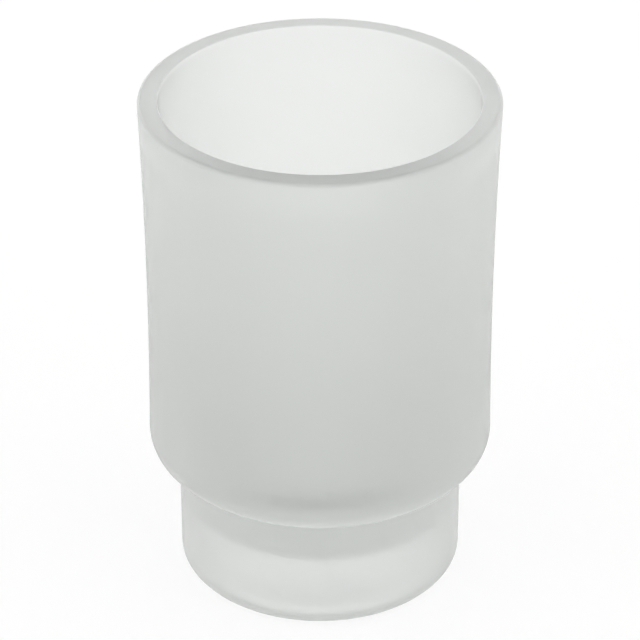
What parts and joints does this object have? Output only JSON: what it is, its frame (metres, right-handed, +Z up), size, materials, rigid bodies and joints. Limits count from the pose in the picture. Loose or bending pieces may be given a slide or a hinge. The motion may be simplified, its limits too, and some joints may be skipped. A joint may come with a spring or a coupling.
{
  "type": "bathroom tumbler",
  "caption": "Frosted glass bathroom tumbler: a slightly waisted cup with a thick flat rim, a rounded shoulder and a narrower heavy foot that drops into a ring holder.",
  "frame": {"origin": "centre of the base, on the surface that the tumbler stands on", "axes": "+Z up along the axis of the glass, towards the rim"},
  "size_m": [0.066, 0.066, 0.0984],
  "materials": {
    "frosted_glass": "satin-etched inside and out, clear glass within"
  },
  "bodies": {
    "root": {"glass_tumbler": "frosted_glass"}
  },
  "joints": []
}
